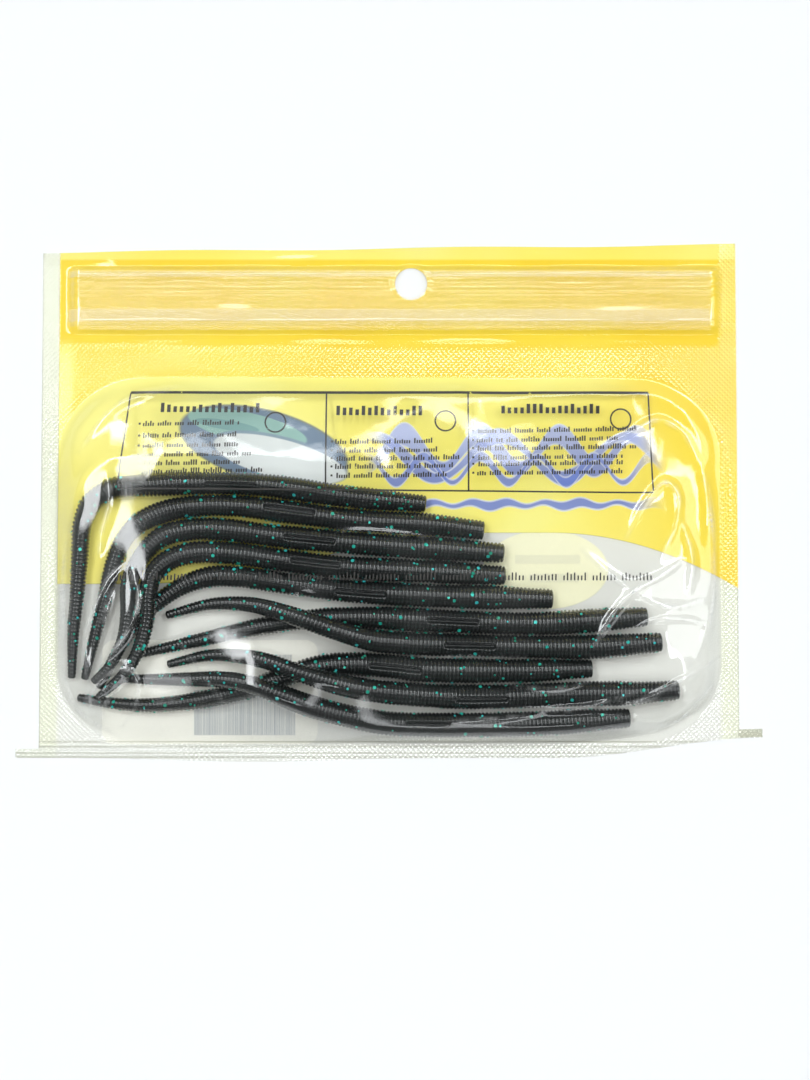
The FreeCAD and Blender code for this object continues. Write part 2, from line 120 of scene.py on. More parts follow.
# Centre lines from head to tail: across, up, and the lift off the back film if one crosses another there.
ROUTES = {
    "worm_01": [
        (9.2, -0.7), (-11.6, 1.3), (-30.5, 3.9), (-46.6, 4.4), (-57.6, 4.0), (-67.7, 3.0), (-72.4, 0.2),
        (-75.0, -5.0), (-75.8, -14.0), (-76.5, -24.0), (-77.3, -32.0), (-77.7, -43.5),
    ],
    "worm_02": [
        (23.4, -7.3), (12.6, -6.0), (-8.4, -4.7), (-24.1, -2.8), (-36.7, -1.3), (-46.6, -1.2),
        (-55.2, -2.6), (-62.0, -6.0), (-65.6, -10.6), (-67.7, -16.0), (-69.6, -24.0), (-72.2, -34.0),
        (-74.6, -43.8),
    ],
    "worm_03": [
        (28.3, -12.8), (12.6, -11.7), (-6.9, -10.5), (-27.3, -8.6), (-40.1, -7.0), (-48.5, -7.0),
        (-55.2, -8.6), (-59.8, -12.5), (-62.3, -16.8, 1.0), (-63.4, -21.5, 3.2), (-63.4, -27.0, 4.4),
        (-64.6, -34.0, 4.0), (-67.7, -40.0, 3.2), (-72.2, -44.4, 2.8),
    ],
    "worm_04": [
        (28.6, -18.3), (12.6, -17.4), (-11.6, -16.2), (-24.0, -14.8), (-38.7, -12.8), (-48.5, -12.8),
        (-54.2, -14.8, 0.6), (-57.6, -18.4, 2.2), (-58.5, -23.4, 4.1), (-58.7, -29.0, 4.6),
        (-60.4, -35.5, 4.0), (-64.0, -41.8, 3.4), (-70.9, -48.2, 3.2),
    ],
    "worm_05": [
        (40.2, -24.0), (7.6, -23.1), (-8.4, -22.2), (-24.0, -20.4), (-36.7, -18.6), (-43.9, -18.6),
        (-49.8, -20.4), (-54.8, -23.4), (-59.5, -27.2), (-63.4, -32.0), (-67.2, -38.0), (-71.0, -46.0),
    ],
    "worm_06": [
        (63.3, -28.3), (38.4, -29.9), (25.1, -29.8), (7.6, -29.1), (-5.2, -28.5), (-18.0, -28.8),
        (-32.0, -30.8), (-43.3, -33.3), (-55.9, -36.2), (-62.1, -37.7),
    ],
    "worm_07": [
        (66.8, -34.5), (51.5, -35.6), (38.4, -35.7), (20.0, -35.3), (4.0, -34.8), (-5.0, -33.9, 1.5),
        (-13.2, -31.6, 4.2), (-20.2, -29.2, 5.1), (-27.0, -27.0, 3.9), (-33.8, -25.4, 1.2), (-43.3, -25.2),
        (-54.8, -28.0),
    ],
    "worm_08": [
        (49.8, -41.0), (38.4, -41.4), (25.1, -41.5), (7.6, -41.2), (1.0, -40.5), (-8.4, -39.9),
        (-18.0, -40.6), (-24.1, -42.4), (-30.5, -44.8), (-36.7, -46.6), (-46.6, -48.7), (-58.9, -49.9),
        (-68.7, -49.3), (-76.3, -48.0),
    ],
    "worm_09": [
        (70.9, -46.2), (60.3, -46.9), (47.0, -47.1), (29.6, -47.7), (16.3, -47.8), (5.0, -47.2, 0.5),
        (-5.0, -46.2, 2.0), (-14.0, -44.2, 4.5), (-22.0, -41.8, 5.3), (-29.5, -39.2, 4.0),
        (-36.7, -37.9, 1.2), (-44.3, -37.8), (-54.4, -40.0),
    ],
    "worm_10": [
        (58.9, -53.0), (47.3, -53.7), (34.0, -54.4), (16.3, -54.7), (7.6, -54.6), (-1.0, -54.2),
        (-10.4, -52.4, 0.6), (-18.5, -50.2, 2.4), (-26.0, -47.4, 4.7), (-33.0, -44.9, 5.0),
        (-40.2, -43.6, 3.2), (-49.8, -43.6, 0.4), (-59.1, -43.6), (-66.3, -43.4),
    ],
}

# The print on the front film: the box, its dividers, headings, rows of ticks and rings.
PRINT_UNDER = 0.06  # the print lies this far under the front film
PRINT_BOX = (-63.5, 63.8, 2.4, 26.8)
BOX_LEAN = (-2.6, 0.8)  # how far its lower corners stand outside its upper ones
PRINT_DIVIDERS = (-15.4, 19.4)
PRINT_HEADINGS = [(-55.5, -31.5, 22.9), (-12.5, 8.2, 22.2), (28.0, 52.5, 22.8)]
PRINT_LINE = (-67.5, 65.0, -18.6)
PRINT_ROWS = [
    (-60.0, -30.0, (18.8, 15.8, 13.3, 11.0, 8.9, 6.9)),
    (-13.0, 18.0, (14.3, 12.1, 10.1, 8.1, 5.9)),
    (21.5, 61.0, (17.2, 14.9, 12.8, 10.5, 8.9, 6.7)),
]
PRINT_RINGS = [(-27.8, 19.2), (13.8, 19.6), (56.9, 20.2)]
RING_RADIUS = 2.5
# A tick's pitch, width and height.
HEADING_TICK, ROW_TICK, LINE_TICK = (1.55, 0.85, 2.4), (0.58, 0.38, 1.3), (0.86, 0.36, 1.9)
LINE_WIDTH = 0.4

# The plain shapes printed on the back film. The lens: centre, half sizes, lean, share of ink and colour.
LENS = [
    ((-31.0, 14.0), (21.4, 8.9), -0.25, 0.85, (0.07, 0.12, 0.22)),
    ((-31.0, 14.0), (20.8, 8.4), -0.25, 0.75, (0.17, 0.26, 0.40)),
    ((-35.0, 18.3), (15.0, 3.8), -0.22, 0.75, (0.36, 0.62, 0.52)),
    ((-40.0, 19.0), (8.0, 1.2), -0.16, 0.50, (0.10, 0.25, 0.28)),
    ((-27.0, 11.0), (17.4, 5.3), -0.25, 0.80, (0.25, 0.32, 0.42)),
    ((-27.0, 10.7), (16.8, 4.8), -0.25, 0.90, (0.83, 0.86, 0.84)),
]
# The waves: middle, half width, swing, length and shift.
WAVES = [
    (12.5, 2.2, 4.2, 19.0, 0.4), (11.0, 1.5, 5.2, 31.0, 2.3), (8.0, 1.0, 3.2, 14.0, 4.0),
    (-0.6, 0.9, 0.5, 9.0, 0.0),
]

# Faint dark lines across the back film, at its edges and along the bottom seal: height and half width.
EDGE_LINES = [(BOTTOM + 0.15, 0.15), (-61.6, 0.1), (-60.1, 0.14), (-58.9, 0.1), (TOP - 0.1, 0.12)]

# Lines pressed along the bottom seal: height up the pouch, half width and rise.
HEM_LINES = [(-61.6, 0.35, 0.16), (-59.9, 0.3, 0.12)]

# Soft swellings in the film over the zip: centre, half width and height, and rise.
LIP_DENTS = [
    (-50.0, 53.5, 7.0, 2.2, 0.45), (-66.0, 59.5, 5.0, 2.0, 0.5), (-38.0, 47.0, 9.0, 1.6, 0.35),
    (-22.0, 60.0, 9.0, 1.5, 0.4), (44.0, 54.5, 8.0, 1.8, 0.4), (58.0, 46.5, 12.0, 1.7, 0.4),
    (24.0, 48.0, 8.0, 1.5, 0.3), (68.0, 59.5, 6.0, 1.8, 0.5), (34.0, 60.2, 9.0, 1.4, 0.4),
]

# Strips across the zip where the film is paler: centre, half height, share of white.
MILKY_STRIPS = [(46.1, 1.6, 0.26), (43.9, 0.5, 0.10), (52.6, 2.4, 0.03), (48.9, 1.0, 0.05), (56.4, 0.8, 0.2)]

# Sharp folds in the front film: points of each fold's line, its height and its half width.
CREASES = [
    ([(-68.5, 6.0), (-68.0, -1.0), (-69.8, -8.0), (-70.5, -14.0)], 1.1, 0.7),
    ([(-63.5, -15.0), (-67.5, -18.5), (-70.5, -24.0), (-72.8, -31.0), (-73.8, -38.0), (-72.0, -45.0)],
     1.1, 0.7),
    ([(-62.0, -17.0), (-60.3, -24.0), (-62.5, -31.0), (-67.0, -37.0), (-72.5, -43.5)], 1.1, 0.7),
    ([(-66.5, -21.0), (-68.5, -27.0), (-69.5, -34.0)], 0.8, 0.6),
    ([(-73.0, -53.0), (-72.0, -47.0), (-67.5, -42.0), (-63.0, -41.0), (-60.8, -44.5), (-61.5, -50.0),
      (-65.0, -55.0)], 1.0, 0.6),
    ([(-70.0, -54.5), (-68.5, -49.0), (-65.0, -46.0)], 0.8, 0.5),
    ([(50.0, -35.0), (54.0, -28.0), (59.0, -22.5), (66.0, -18.5), (74.0, -13.0)], 1.3, 0.9),
    ([(57.0, -33.0), (64.0, -29.5), (72.0, -29.0), (79.5, -31.0)], 0.8, 0.6),
    ([(50.0, -50.6), (58.6, -49.5), (71.2, -43.5), (81.0, -38.0)], 1.1, 0.7),
    ([(77.0, 8.0), (78.3, 0.0), (79.4, -12.6), (79.0, -26.0), (75.0, -38.0)], 1.3, 0.9),
    ([(71.5, -5.0), (74.0, -14.0), (73.0, -24.0)], 0.9, 0.8),
    ([(66.0, -56.0), (73.0, -52.0), (80.0, -44.0)], 1.0, 0.8),
    ([(58.0, -9.0), (62.0, -1.0), (67.5, 4.5), (70.5, 2.0), (70.0, -6.0), (66.0, -14.0)], 1.2, 0.9),
    ([(52.0, 13.0), (58.0, 16.0), (66.0, 20.0), (72.0, 17.0), (76.5, 9.0)], 0.8, 0.8),
    ([(47.0, -12.0), (56.0, -20.0), (68.0, -26.0), (78.0, -24.0)], 0.9, 1.1),
    ([(20.0, -51.2), (40.0, -50.6), (57.0, -50.0)], 0.9, 0.6),
    ([(-80.0, -40.0), (-76.0, -51.0), (-66.0, -57.5)], 0.8, 0.7),
    ([(-79.0, -10.0), (-80.0, -22.0), (-79.0, -34.0)], 0.8, 0.8),
    ([(-76.0, 12.0), (-66.0, 24.0), (-52.0, 28.0)], 0.7, 1.0),
    ([(12.0, -38.0), (22.0, -38.3), (33.0, -38.2)], 0.5, 0.4),
    ([(-14.0, -7.6), (-2.0, -8.0), (12.0, -9.6)], 0.5, 0.4),
    ([(-52.0, -32.0), (-46.0, -41.0), (-38.0, -52.0)], 0.5, 0.6),
    ([(14.0, -53.6), (26.0, -53.0), (39.0, -51.6)], 0.8, 0.5),
    ([(39.0, -51.4), (48.0, -50.2), (59.5, -46.8)], 0.9, 0.5),
    ([(27.0, -44.5), (40.0, -45.8), (52.0, -43.0)], 0.6, 0.5),
]


# ---- small helpers ----


def smooth_step(x, low, high):
    t = np.clip((x - low) / (high - low), 0.0, 1.0)
    return t * t * (3.0 - 2.0 * t)


def catmull_rom(points, steps=24):
    """Close points of a centripetal spline through points, and the distance along it."""
    p = np.asarray(points, float)
    p = np.vstack([2 * p[0] - p[1], p, 2 * p[-1] - p[-2]])
    t = np.linspace(0, 1, steps, endpoint=False)[:, None]
    out = []
    for k in range(1, len(p) - 2):
        a, b, c, d = p[k - 1 : k + 3]
        g0, g1, g2 = (math.dist(u[:2], v[:2]) ** 0.5 for u, v in ((a, b), (b, c), (c, d)))
        leave = (c - b) + g1 * ((b - a) / g0 - (c - a) / (g0 + g1))
        arrive = (c - b) + g1 * ((d - c) / g2 - (d - b) / (g1 + g2))
        out.append(
            (2 * t**3 - 3 * t**2 + 1) * b + (t**3 - 2 * t**2 + t) * leave
            + (3 * t**2 - 2 * t**3) * c + (t**3 - t**2) * arrive
        )
    curve = np.vstack([*out, p[-2:-1]])
    along = np.r_[0, np.cumsum(np.linalg.norm(np.diff(curve, axis=0), axis=1))]
    return curve, along


def make_object(name, points, faces, material, smooth=True):
    """A mesh object from points in millimetres."""
    mesh = bpy.data.meshes.new(name)
    mesh.from_pydata([tuple(p) for p in np.asarray(points) * MM], [], [tuple(f) for f in faces])
    mesh.materials.append(material)
    mesh.polygons.foreach_set("use_smooth", [smooth] * len(mesh.polygons))
    mesh.update()
    obj = bpy.data.objects.new(name, mesh)
    bpy.context.scene.collection.objects.link(obj)
    return obj


def band_faces(rings, around):
    """Quads between neighbouring closed rings of points."""
    pairs = [(k, (k + 1) % around) for k in range(around)]
    firsts = range(0, (rings - 1) * around, around)
    return [(f + a, f + b, f + around + b, f + around + a) for f in firsts for a, b in pairs]


# ---- materials ----


class Value:
    """A number that a node tree works out, so that sums of them read as sums."""

    def __init__(self, nodes, socket):
        self.nodes = nodes
        self.socket = socket

    def __add__(self, other):
        return self.nodes.math("ADD", self, other)

    def __sub__(self, other):
        return self.nodes.math("SUBTRACT", self, other)

    def __rsub__(self, other):
        return self.nodes.math("SUBTRACT", other, self)

    def __mul__(self, other):
        return self.nodes.math("MULTIPLY", self, other)

    def __truediv__(self, other):
        return self.nodes.math("DIVIDE", self, other)

    def __abs__(self):
        return self.nodes.math("ABSOLUTE", self)


def highest(first, *others):
    for other in others:
        first = first.nodes.math("MAXIMUM", first, other)
    return first


def sine(value):
    return value.nodes.math("SINE", value)


class Nodes:
    """The node tree of a material or of the world, with the node patterns that this scene repeats."""

    def __init__(self, owner):
        owner.use_nodes = True
        self.owner = owner
        self.tree = owner.node_tree
        self.tree.nodes.clear()
        self.output = self.add(f"ShaderNodeOutput{type(owner).__name__}")

    def add(self, kind, **settings):
        """A new node. A setting goes to the input of that name, with _ for a space, or else to a property."""
        node = self.tree.nodes.new(kind)
        for key, value in settings.items():
            socket = node.inputs.get(key.replace("_", " "))
            if socket is None:
                setattr(node, key, value)
            else:
                self.put(socket, value)
        return node

    def put(self, socket, value):
        """Sets an input to a number or a colour, or links it to what another node gives."""
        if isinstance(value, (int, float)):
            socket.default_value = value
        elif isinstance(value, tuple):
            socket.default_value = (*value, 1.0)[: len(socket.default_value)]
        else:
            self.tree.links.new(getattr(value, "socket", value), socket)

    def math(self, operation, *values, clamp=False):
        node = self.add("ShaderNodeMath", operation=operation, use_clamp=clamp)
        for socket, value in zip(node.inputs, values):
            self.put(socket, value)
        return Value(self, node.outputs[0])

    def step(self, value, low, high, start=0.0, end=1.0):
        """Start below low, end above high, and smooth between, also where low is the higher one."""
        if low > high:
            low, high, start, end = high, low, end, start
        node = self.add("ShaderNodeMapRange", interpolation_type="SMOOTHSTEP", Value=value,
                        From_Min=low, From_Max=high, To_Min=start, To_Max=end)
        return Value(self, node.outputs["Result"])

    def mix(self, share, a, b):
        node = self.add("ShaderNodeMix", data_type="RGBA", Factor=share)
        colours = [s for s in node.inputs if s.type == "RGBA"]
        self.put(colours[0], a)
        self.put(colours[1], b)
        return next(s for s in node.outputs if s.type == "RGBA")

    def place(self):
        """The object's own coordinates, and its X and Y in millimetres."""
        coordinates = self.add("ShaderNodeTexCoord").outputs["Object"]
        split = self.add("ShaderNodeSeparateXYZ", Vector=coordinates)
        return coordinates, *(Value(self, split.outputs[k]) * (1 / MM) for k in range(2))

    def noise(self, coordinates, scale, detail=3.0, roughness=0.5):
        node = self.add("ShaderNodeTexNoise", Vector=coordinates, Scale=scale, Detail=detail,
                        Roughness=roughness)
        return Value(self, node.outputs[0])

    def stripes(self, value, detail=2.0):
        """Noise along one direction only."""
        node = self.add("ShaderNodeTexNoise", noise_dimensions="1D", W=value, Detail=detail)
        return Value(self, node.outputs[0])

    def bump(self, height, strength, distance, before=None):
        node = self.add("ShaderNodeBump", Height=height, Strength=strength, Distance=distance * MM)
        if before is not None:
            self.put(node.inputs["Normal"], before)
        return node.outputs[0]

    def shader(self, kind, **settings):
        return self.add(f"ShaderNodeBsdf{kind}", **settings).outputs[0]

    def blend_shaders(self, share, a, b):
        node = self.add("ShaderNodeMixShader")
        for socket, value in zip(node.inputs, (share, a, b)):
            self.put(socket, value)
        return node.outputs[0]

    def clear_layer(self, milk, normal, strength=1.9, tint=(0.995, 1.0, 0.995), roughness=0.10, fold_shade=0.3):
        """See-through plastic with milk's share of white haze, shinier at a slant, and greyed at a slant by
        painted shade that stands in for the dark lines beside its folds.
        """
        weight = self.add("ShaderNodeLayerWeight", Blend=0.5, Normal=normal)
        slant = Value(self, weight.outputs["Facing"])
        # painted shade: the see-through colour turns grey where the film is seen at a slant, most on steep
        # folds
        tint = self.mix(self.step(slant, 0.08, 0.42) * fold_shade, tint, (0.58, 0.60, 0.58))
        clear = self.shader("Transparent", Color=tint)
        white = self.shader("Diffuse", Color=(0.93, 0.94, 0.93))
        mirror = self.shader("Glossy", Color=(1.0, 1.0, 1.0), Roughness=roughness, Normal=normal)
        share = self.math("POWER", slant, 4.0) * 0.9 + 0.04
        share = self.math("MULTIPLY", share, strength, clamp=True)
        return self.blend_shaders(share, self.blend_shaders(milk, clear, white), mirror)

    def finish(self, shader):
        self.put(self.output.inputs["Surface"], shader)
        return self.owner


def material_nodes(name):
    return Nodes(bpy.data.materials.new(name))


def outside_pocket(n, x, y):
    """1 on the flat seals round the pocket, 0 inside the pocket."""
    left, right, bottom, top = POCKET
    across = highest(abs(x - (left + right) / 2) - ((right - left) / 2 - POCKET_CORNER), 0.0)
    up = highest(abs(y - (bottom + top) / 2) - ((top - bottom) / 2 - POCKET_CORNER), 0.0)
    reach = n.math("SQRT", across * across + up * up)
    return n.step(reach, POCKET_CORNER - 0.3, POCKET_CORNER + 0.4)


def seal_hatch(n, x, y):
    """The diagonal diamond hatch pressed into the heat seals, up to 1 there and 0 elsewhere."""
    seal = highest(outside_pocket(n, x, y) * n.step(y, 41.0, 36.0), n.step(abs(x), 81.0, 82.0))
    turn = 2 * math.pi / HATCH_PITCH
    return highest(sine((x + y) * turn), sine((x - y) * turn)) * seal


def clear_film_material():
    """The front film: clear and glossy, milky along the zip's flat strips, hatched on its heat seals, and
    painted white along its folds as a highlight.
    """
    n = material_nodes("clear_film")
    coordinates, x, y = n.place()
    coarse = n.noise(coordinates, 45.0, 2.0)
    normal = n.bump(n.noise(coordinates, 160.0, 4.0) * 0.25 + coarse, 0.3, 0.3)
    hatch = seal_hatch(n, x, y)
    normal = n.bump(hatch, 0.5, 0.1, normal)
    # painted highlight: the white lines along the folds, read from the skin's points, add to the film's white
    # share
    stress = Value(n, n.add("ShaderNodeAttribute", attribute_name="stress").outputs["Fac"])
    milk = n.step(coarse, 0.5, 0.75) * 0.015 + stress * 0.65 + highest(hatch, 0.0) * 0.03
    inside = n.step(abs(x), 80.5, 78.5)
    for centre, half, amount in MILKY_STRIPS:
        milk = milk + n.step(abs(y - centre), half + 0.35, half - 0.35) * inside * amount
    return n.finish(n.clear_layer(milk, normal))


def zip_material():
    """The zip's clear polyethylene tapes, drawn out along the pouch with faint lines."""
    n = material_nodes("zip_plastic")
    coordinates, _, y = n.place()
    lines = n.stripes(y * 1.4)
    normal = n.bump(lines + n.noise(coordinates, 90.0, 2.0), 0.3, 0.25)
    return n.finish(n.clear_layer(lines * 0.02, normal, 0.5, (1.0, 1.0, 0.995), 0.12, 0.0))


def ellipse_mask(n, x, y, centre, half, turn):
    """1 inside a turned ellipse, 0 outside it."""
    dx, dy = x - centre[0], y - centre[1]
    c, s = math.cos(turn), math.sin(turn)
    u, v = (dx * c + dy * s) / half[0], (dy * c - dx * s) / half[1]
    return n.step(u * u + v * v, 1.06, 0.94)


def box_mask(n, x, y, centre, half, soft):
    """1 inside an upright box, 0 outside it."""
    across = n.step(abs(x - centre[0]), half[0] + soft, half[0] - soft)
    return across * n.step(abs(y - centre[1]), half[1] + soft, half[1] - soft)


def back_film_material():
    """Film that is clear below and printed yellow above a curved edge, with plain generic blue shapes."""
    n = material_nodes("back_film")
    coordinates, x, y = n.place()
    # the curved lower edge of the print: level on the left, a low arch in the middle, down to the right
    arch = n.step(x, -62.0, 24.0) * 12.6
    fall = n.math("POWER", highest(x - 40.0, 0.0), 2.0) * 0.0065
    above = n.step(y - (arch - 20.2 - fall), -0.12, 0.12)
    inked = above * n.step(x, PRINT_LEFT - 0.12, PRINT_LEFT + 0.12)
    # the yellow is paler over the pocket, a painted veil in place of the reflections of the front film and
    # the air gap above it, and paler in a strip at its left and along the top edge
    cloudy = n.noise(coordinates, 22.0, 2.0)
    deep = n.mix(n.step(cloudy, 0.35, 0.7), (0.95, 0.67, 0.025), (0.96, 0.74, 0.045))
    pale = n.mix(n.step(cloudy, 0.3, 0.7), (0.97, 0.85, 0.15), (0.98, 0.92, 0.28))
    paler = (1.06 - outside_pocket(n, x, y)) * n.step(x, 82.0, 30.0)
    paler = highest(paler, n.step(x, -77.0, -79.5)) * n.step(y, 42.0, 34.0)
    paler = highest(paler, n.step(y, 59.8, 60.6) * 0.8)
    colour = n.mix(n.math("MINIMUM", paler, 1.0), deep, pale)
    # a lens-shaped body with a pale belly
    for centre, half, lean, share, tone in LENS:
        colour = n.mix(ellipse_mask(n, x, y, centre, half, lean) * share, colour, tone)
    # a few flowing waves with pale rims, and a thin one below
    span = n.step(x, -7.0, 0.0) * n.step(x, 69.0, 58.0)
    blue = n.mix(n.step(y, 18.0, 3.0), (0.46, 0.53, 0.90), (0.14, 0.22, 0.66))
    for middle, half, high, length, shift in WAVES:
        centre = sine(x * (2 * math.pi / length) + shift) * high + middle
        outside = abs(y - centre) - (sine(x * 0.31) * (0.35 * half) + half)
        colour = n.mix(n.step(outside, 0.25, -0.15) * span * 0.9, colour, blue)
        colour = n.mix(n.step(abs(outside), 0.35, 0.1) * span * 0.6, colour, (0.80, 0.82, 0.88))
    hatch = seal_hatch(n, x, y)
    normal = n.bump(hatch, 0.3, 0.1, n.bump(n.noise(coordinates, 70.0), 0.25, 0.3))
    # the clear film's tint: greener at the sides, whiter in the bottom seal, dark along the cut edges
    sides = n.step(abs(x), SIDE - 0.35, SIDE - 0.1) * n.step(y, EAR_TOP - 0.3, EAR_TOP + 0.3)
    lines = [n.step(abs(y - place), half + 0.15, half) for place, half in EDGE_LINES]
    tint = n.mix(n.step(abs(x), 81.0, 82.0), (0.993, 0.983, 0.945), (0.985, 0.985, 0.87))
    tint = n.mix(n.step(y, -59.3, -60.3) * 0.5, tint, (0.98, 0.98, 0.95))
    tint = n.mix(highest(sides, *lines) * 0.6, tint, (0.62, 0.61, 0.50))
    clear = n.clear_layer(highest(hatch, 0.0) * 0.05 + 0.03, normal, 0.5, tint, 0.10, 0.05)
    ink = n.shader("Principled", Base_Color=colour, Roughness=0.35, Normal=normal)
    return n.finish(n.blend_shaders(inked * 0.97, clear, ink))


def front_print_material():
    """Black ink printed on the inside of the front film, thin and broken in places."""
    n = material_nodes("front_print")
    coordinates, _, _ = n.place()
    worn = n.noise(coordinates, 420.0, 3.0, 0.7)
    shade = n.mix(worn, (0.012, 0.011, 0.010), (0.05, 0.045, 0.04))
    ink = n.shader("Principled", Base_Color=shade, Roughness=0.4)
    return n.finish(n.blend_shaders(n.step(worn, 0.72, 0.64), n.shader("Transparent"), ink))


def worm_material():
    """Dark, slightly green, oily soft plastic with faint clouding and specks under the skin."""
    n = material_nodes("worm_plastic")
    coordinates, _, _ = n.place()
    cloud = n.noise(coordinates, 60.0)
    colour = n.mix(n.step(cloud, 0.35, 0.7), (0.003, 0.0045, 0.0045), (0.009, 0.012, 0.011))
    cells = n.add("ShaderNodeTexVoronoi", feature="F1", Vector=coordinates, Scale=900.0)
    specks = n.step(cells.outputs["Distance"], 0.16, 0.06)
    colour = n.mix(specks * 0.5, colour, (0.01, 0.10, 0.085))
    normal = n.bump(n.noise(coordinates, 500.0, 2.0), 0.15, 0.05)
    return n.finish(n.shader("Principled", Base_Color=colour, Roughness=cloud * 0.15 + 0.26, Normal=normal,
                             Specular_IOR_Level=0.12, Coat_Weight=1.0, Coat_Roughness=0.10, Coat_IOR=1.9))


def flake_material():
    """Metallic glitter from green through teal to blue, a different shade on each flake."""
    n = material_nodes("glitter")
    island = n.add("ShaderNodeNewGeometry").outputs["Random Per Island"]
    ramp = n.add("ShaderNodeValToRGB", Fac=island)
    stops = ramp.color_ramp.elements
    stops[0].color = (0.008, 0.24, 0.14, 1)
    stops[1].color = (0.05, 0.62, 0.66, 1)
    stops.new(0.55).color = (0.02, 0.52, 0.40, 1)
    coordinates, _, _ = n.place()
    scuffs = n.noise(coordinates, 1500.0, 2.0) * 0.2 + 0.22
    return n.finish(n.shader("Principled", Base_Color=ramp.outputs[0], Roughness=scuffs, Metallic=0.25))


def paper_material(name, colour, printed):
    """A semi-gloss sticker with paper grain; printed adds its marks to the colour."""
    n = material_nodes(name)
    coordinates, x, y = n.place()
    grain = n.noise(coordinates, 1200.0)
    shade = n.mix(n.step(grain, 0.3, 0.7), tuple(c * 0.97 for c in colour), colour)
    normal = n.bump(grain, 0.15, 0.03)
    shade = printed(n, x, y, shade)
    return n.finish(n.shader("Principled", Base_Color=shade, Roughness=0.45, Normal=normal))


def barcode_marks(n, x, y, shade):
    """Upright bars of uneven width, and a plain row of dashes above them."""
    bars = n.step(n.stripes(x * 2.3, 1.0), 0.49, 0.51) * box_mask(n, x, y, (-35.4, -51.8), (12.4, 5.5), 0.1)
    shade = n.mix(bars * 0.85, shade, (0.16, 0.22, 0.33))
    dashes = n.step(n.stripes(x * 1.1), 0.44, 0.47) * box_mask(n, x, y, (-35.4, -38.4), (11.5, 0.8), 0.1)
    return n.mix(dashes * 0.6, shade, (0.3, 0.34, 0.42))


def size_marks(n, x, y, shade):
    """Two faint plain bars across the middle of the oval."""
    upper = box_mask(n, x, y, (39.0, -14.2), (8.0, 1.1), 0.2)
    lower = box_mask(n, x, y, (40.5, -18.8), (6.0, 1.1), 0.2)
    return n.mix(highest(upper, lower) * 0.3, shade, (0.6, 0.6, 0.52))


# ---- worms ----


def worm_radius(along):
    """The radius over the ribs' crests, at distances from the head."""
    stops = [0.0, 2.0, 15.0, 55.0, 82.0, 98.0, 108.0, 119.0, 127.0]
    sizes = [3.9, 4.0, 5.3, 5.2, 4.6, 4.32, 3.7, 2.8, 2.0]
    return 0.5 * np.interp(along, stops, sizes)


class Worm:
    """A worm's centre line with a level frame round it."""

    def __init__(self, name):
        self.curve, self.along = catmull_rom([(*point, 0)[:3] for point in ROUTES[name]])
        self.length = self.along[-1]
        self.scale = WORM_LENGTH / self.length
        self.extra = np.zeros(len(self.curve))

    def on_route(self, along):
        spot = np.stack([np.interp(along, self.along, self.curve[:, k]) for k in range(3)], axis=1)
        spot[:, 2] = np.maximum(spot[:, 2], 0.0)
        return spot

    def at(self, along):
        """Centres, radii and the two directions square to the centre line."""
        along = np.atleast_1d(along)
        radius = worm_radius(along * self.scale) + np.interp(along, self.along, self.extra)
        point = self.on_route(along)
        point[:, 2] += FILM + WORM_GAP + np.maximum(radius, 1.0)
        reach = 0.4
        before, after = (self.on_route(np.clip(along + side, 0, self.length)) for side in (-reach, reach))
        heading = after - before
        heading /= np.linalg.norm(heading, axis=1)[:, None]
        up = np.array([0.0, 0.0, 1.0]) - heading * heading[:, 2:3]
        up /= np.linalg.norm(up, axis=1)[:, None]
        return point, radius, up, np.cross(heading, up)


def fill_out(worms):
    """Soft worms that lie side by side swell a little into the room between them."""
    lines = {name: worm.at(worm.along)[:2] for name, worm in worms.items()}
    swell = {}
    for name, (centre, radius) in lines.items():
        room = np.full(len(centre), SWELL_ROOM)
        for other, (centre_2, radius_2) in lines.items():
            if other != name:
                gap = np.linalg.norm(centre[:, None, :] - centre_2[None, :, :], axis=2)
                room = np.minimum(room, (gap - radius[:, None] - radius_2[None, :]).min(axis=1))
        room = np.convolve(np.pad(room, 6, mode="edge"), np.ones(13) / 13, mode="valid")
        thick = 1 - smooth_step(worms[name].along, 80.0, 100.0)
        swell[name] = 0.5 * np.clip(room - 0.05, 0.0, SWELL_ROOM) * thick
    for name, worm in worms.items():
        worm.extra = swell[name]


def worm_marks(length):
    """Distances from the head of the mesh's rings, and each one's place within its rib."""
    count = int(length / RIB_PITCH)
    pitch = length / count
    marks, phases = [], []
    for k in range(count):
        for phase in RIB_PHASES:
            marks.append((k + phase) * pitch)
            phases.append(phase)
    return np.array(marks[1:]), np.array(phases[1:])


def rounded_end(distance, size):
    """0 at an end, rising along a quarter circle to 1 at size from it."""
    return np.sqrt(np.clip(1 - (1 - np.clip(distance / size, 0, 1)) ** 2, 0, 1))


